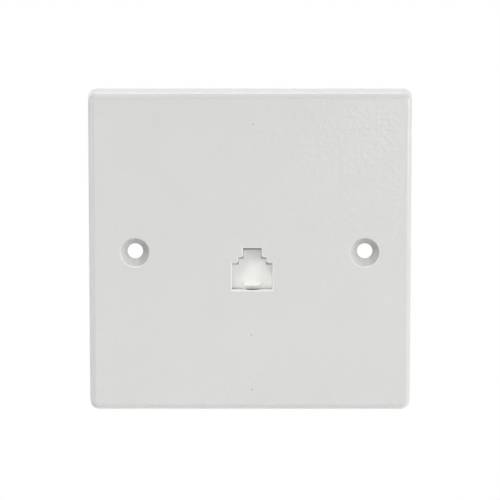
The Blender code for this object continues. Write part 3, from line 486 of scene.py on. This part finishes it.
def add_mesh(name, shape, material, smooth=True):
    bmesh.ops.recalc_face_normals(shape, faces=shape.faces[:])
    mesh = bpy.data.meshes.new(name)
    shape.to_mesh(mesh)
    shape.free()
    mesh.materials.append(material)
    if smooth:
        mesh.shade_smooth()
    return add_item(name, mesh)


def join_loops(shape, loops):
    """Faces from each loop of vertices to the next, and one over each end."""
    for first, second in zip(loops, loops[1:]):
        for k in range(len(first)):
            following = (k + 1) % len(first)
            shape.faces.new((first[k], first[following], second[following], second[k]))
    shape.faces.new(loops[0])
    shape.faces.new(loops[-1])


def neighbours(points, i):
    """The points before and after one, or the point itself where it is an end."""
    return points[max(i - 1, 0)], points[min(i + 1, len(points) - 1)]


def round_angles(sides):
    return [2 * math.pi * k / sides for k in range(sides)]


def tube(name, points, radius, sides, material):
    """A round wire along the points, closed at both ends."""
    shape = bmesh.new()
    rings = []
    for i, point in enumerate(points):
        before, after = neighbours(points, i)
        along = (after - before).normalized()
        across = along.cross(Vector((0, 0, 1))).normalized()
        up = across.cross(along)
        rings.append([
            shape.verts.new(point + (across * math.cos(angle) + up * math.sin(angle)) * radius)
            for angle in round_angles(sides)
        ])
    join_loops(shape, rings)
    return add_mesh(name, shape, material)


def spring_points():
    """The compression spring's helix, with a closed turn at each end."""
    centre_x, centre_y = (SPRING_LOW.x + SPRING_HIGH.x) / 2, (SPRING_LOW.y + SPRING_HIGH.y) / 2
    radius = (SPRING_HIGH.x - SPRING_LOW.x - SPRING_WIRE) / 2
    low, high = SPRING_LOW.z + SPRING_WIRE / 2, SPRING_HIGH.z - SPRING_WIRE / 2
    closed = CLOSED_PITCH * SPRING_WIRE
    points = []
    for i in range(SPRING_TURNS * SPRING_STEPS + 1):
        turns = i / SPRING_STEPS
        if turns < 1:
            z = low + closed * turns
        elif turns > SPRING_TURNS - 1:
            z = high - closed * (SPRING_TURNS - turns)
        else:
            z = low + closed + (high - low - 2 * closed) * (turns - 1) / (SPRING_TURNS - 2)
        angle = 2 * math.pi * turns
        points.append(Vector((centre_x + radius * math.cos(angle), centre_y + radius * math.sin(angle), z)))
    return points


def dress_spring():
    """The spring's wire, which stands in for the CAD spring and is carried with the socket's body."""
    steel = metal("spring_steel")
    spring = tube("shutter_spring_wire", spring_points(), SPRING_WIRE / 2, SPRING_SIDES, steel)
    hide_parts("shutter_spring")
    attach(spring, "socket")
    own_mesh(spring)


def solder_joint(name, x, z, level, way, inner, solder):
    """A hollow-sided cone of solder round a tail, from the board's face at level back or forward by way."""
    shape = bmesh.new()
    loops = []
    for i in range(JOINT_RINGS + 1):
        share = i / JOINT_RINGS
        radius = inner + (JOINT_SPREAD - inner) * (1 - share) ** 2
        y = level + way * JOINT_HEIGHT * share
        loops.append([
            shape.verts.new((x + radius * math.cos(angle), y, z + radius * math.sin(angle)))
            for angle in round_angles(JOINT_SIDES)
        ])
    join_loops(shape, loops)
    joint = add_mesh(name, shape, solder)
    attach(joint, "socket")


def track(name, points, level, way, copper):
    """A copper track under the mask: a low ridge along the points, on the board's face at level."""
    shape = bmesh.new()
    half = TRACK_WIDTH / 2
    rows = []
    for i, (x, z) in enumerate(points):
        before, after = neighbours(points, i)
        along = Vector((after[0] - before[0], after[1] - before[1])).normalized()
        side = Vector((-along.y, along.x))
        rows.append([
            shape.verts.new((x + side.x * half * share, level + way * lift, z + side.y * half * share))
            for share, lift in ((1, 0), (TRACK_TOP, TRACK_LIFT), (-TRACK_TOP, TRACK_LIFT), (-1, 0))
        ])
    join_loops(shape, rows)
    ridge = add_mesh(name, shape, copper, smooth=False)
    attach(ridge, "socket")


def centre_of(node, axis):
    low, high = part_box(node)
    return (low[axis] + high[axis]) / 2


def dress_board():
    """Solder round each tail, and a track from each contact up to its terminal, on the board's room side."""
    solder, copper = metal("solder"), plastic("masked_copper")
    for number in range(1, WAYS + 1):
        contact, blade = f"contact_{number}", f"idc_blade_{number}"
        low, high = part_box(contact)
        wire = high.x - low.x
        x, z = centre_of(contact, 0), low.z + wire / 2
        solder_joint(f"contact_joint_{number}", x, z, BOARD_HIGH.y, 1, wire / 2, solder)
        blade_x, blade_z = centre_of(blade, 0), centre_of(blade, 2)
        solder_joint(f"blade_joint_{number}", blade_x, blade_z, BOARD_LOW.y, -1, BLADE_TAIL_HALF, solder)
        from_middle = abs(number - (WAYS + 1) / 2)
        bend = blade_z - TRACK_BEND - from_middle * TRACK_STEP
        route = [(x, z), (x, z + TRACK_RISE), (blade_x, bend), (blade_x, blade_z)]
        track(f"track_{number}", route, BOARD_LOW.y, -1, copper)


def look_from(item, aim, distance, rise, turn):
    """Stands a lamp or the camera off the point that it looks at: degrees above it, and to its right."""
    up, right = math.radians(rise), math.radians(turn)
    back = Vector((math.sin(right) * math.cos(up), -math.cos(right) * math.cos(up), math.sin(up)))
    item.location = aim + back * distance
    item.rotation_mode = "QUATERNION"
    item.rotation_quaternion = (-back).to_track_quat("-Z", "Y")


def area_light(name, power, size, rise, turn):
    """A square soft lamp that looks at the middle of the plate."""
    lamp = bpy.data.lights.new(name, "AREA")
    lamp.energy = power
    lamp.size = size
    look_from(add_item(name, lamp), Vector((0, FACE_Y, HOLE_LINE)), LIGHT_DISTANCE, rise, turn)


def in_sight(tree):
    """1 on what the camera looks at, also by a glossy or a clear surface, and 0 for all other light."""
    path = tree.nodes.new("ShaderNodeLightPath")
    seen = path.outputs["Is Camera Ray"]
    for way in ("Is Glossy Ray", "Is Transmission Ray"):
        either = tree.nodes.new("ShaderNodeMath")
        either.operation = "MAXIMUM"
        tree.links.new(seen, either.inputs[0])
        tree.links.new(path.outputs[way], either.inputs[1])
        seen = either.outputs[0]
    return seen


def mix_shaders(tree, factor, first, second):
    """The first shader where the factor is 0, and the second where it is 1."""
    mix = tree.nodes.new("ShaderNodeMixShader")
    for socket, value in zip(mix.inputs, (factor, first, second)):
        tree.links.new(value, socket)
    return mix.outputs[0]


def white_world():
    """White where it is looked at, and a plain level where it lights the object."""
    world = bpy.data.worlds.new("studio")
    bpy.context.scene.world = world
    world.use_nodes = True
    tree = world.node_tree
    tree.nodes.clear()
    skies = []
    for strength in (AMBIENT, 1.0):
        sky = tree.nodes.new("ShaderNodeBackground")
        sky.inputs["Color"].default_value = (1, 1, 1, 1)
        sky.inputs["Strength"].default_value = strength
        skies.append(sky.outputs[0])
    output = tree.nodes.new("ShaderNodeOutputWorld")
    tree.links.new(mix_shaders(tree, in_sight(tree), *skies), output.inputs["Surface"])


def pale_floor():
    """A pale floor that keeps the object's shadow, and fades to white at its edges where it is looked at."""
    nodes = Nodes("pale_floor")
    nodes.shade("Base Color", FLOOR_COLOUR)
    nodes.shade("Roughness", FLOOR_ROUGHNESS)
    share = nodes.clamped(nodes.math("DIVIDE", nodes.distance((0, 0, 0)), FLOOR_SIZE / 2))
    fade = nodes.math("MULTIPLY", nodes.math("POWER", share, 2.0), 1 - FLOOR_WHITE)
    shaded, white = nodes.shader.outputs[0], nodes.add("ShaderNodeEmission").outputs[0]
    looked_at = mix_shaders(nodes.tree, nodes.math("ADD", fade, FLOOR_WHITE), shaded, white)
    surface = mix_shaders(nodes.tree, in_sight(nodes.tree), shaded, looked_at)
    nodes.feed(nodes.tree.nodes["Material Output"].inputs["Surface"], surface)
    return nodes.material


def studio():
    white_world()
    shape = bmesh.new()
    bmesh.ops.create_grid(shape, x_segments=1, y_segments=1, size=FLOOR_SIZE / 2)
    floor = add_mesh("floor", shape, pale_floor(), smooth=False)
    floor.location = (0, 0, PLATE_LOW.z - FLOOR_DROP)
    for lamp in LIGHTS:
        area_light(*lamp)


def camera():
    """Straight in front, from a little above the line of the fixing holes."""
    data = bpy.data.cameras.new("camera")
    data.sensor_width = SENSOR_WIDTH
    data.lens = SENSOR_WIDTH * CAMERA_DISTANCE / PICTURE_WIDTH
    data.dof.use_dof = False
    data.clip_start, data.clip_end = CAMERA_CLIP
    item = add_item("camera", data)
    look_from(item, Vector((0, FACE_Y, HOLE_LINE + AIM_ABOVE_HOLES)), CAMERA_DISTANCE, CAMERA_RISE, 0)
    bpy.context.scene.camera = item


def main():
    bpy.context.scene.view_settings.view_transform = "Standard"
    dress_frame()
    dress_spring()
    dress_board()
    studio()
    camera()


main()
